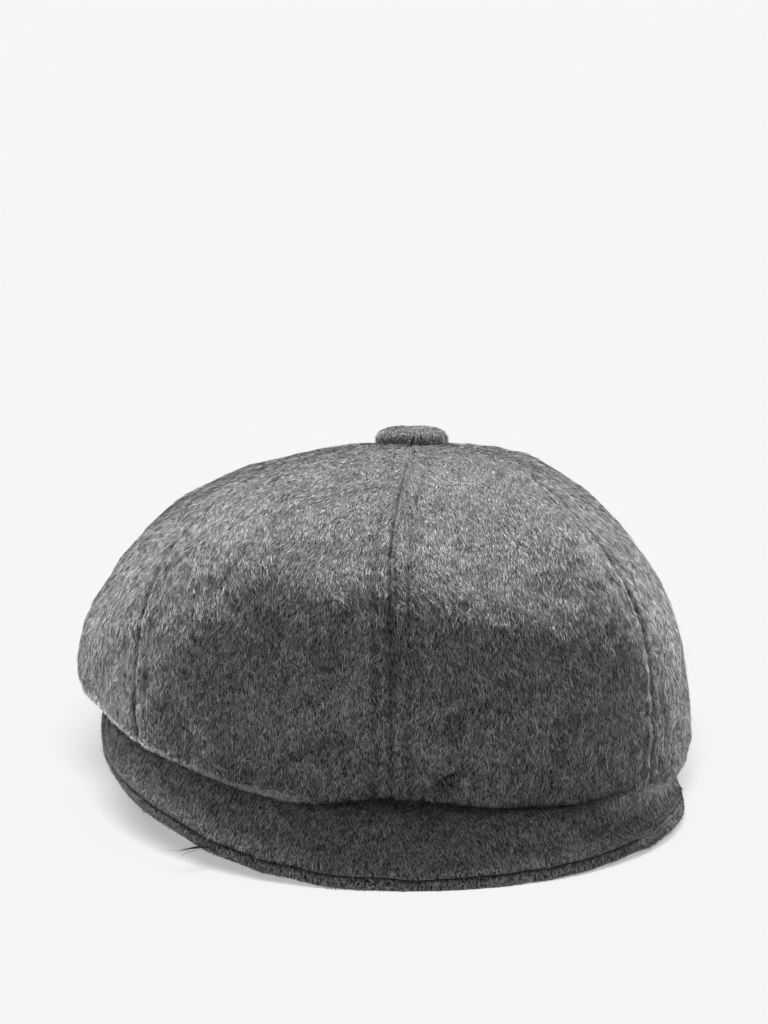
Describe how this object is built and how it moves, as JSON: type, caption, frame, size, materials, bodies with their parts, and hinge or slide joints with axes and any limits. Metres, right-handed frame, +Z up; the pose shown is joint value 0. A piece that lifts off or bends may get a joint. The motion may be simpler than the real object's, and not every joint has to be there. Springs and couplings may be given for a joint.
{
  "type": "flat cap",
  "caption": "Brushed-wool flat cap with a full panelled crown, a head band, a short steep peak and a cloth-covered button on top.",
  "frame": {"origin": "middle of the cap's footprint box, on the surface that the cap rests on", "axes": "-Y is where the peak points, +X is on the right of someone facing the peak, +Z is up"},
  "size_m": [0.2108, 0.2603, 0.1264],
  "materials": {
    "crown_cloth": "brushed wool, matt",
    "band_cloth": "plain wool, matt",
    "peak_cloth": "brushed wool, matt",
    "button_cloth": "brushed wool, matt"
  },
  "bodies": {
    "root": {"crown_panel_1": "crown_cloth", "crown_panel_2": "crown_cloth", "crown_panel_3": "crown_cloth", "crown_panel_4": "crown_cloth", "crown_panel_5": "crown_cloth", "crown_panel_6": "crown_cloth", "crown_panel_7": "crown_cloth", "crown_panel_8": "crown_cloth", "head_band": "band_cloth", "peak_top": "peak_cloth", "peak_underside": "peak_cloth", "button": "button_cloth"}
  },
  "joints": []
}
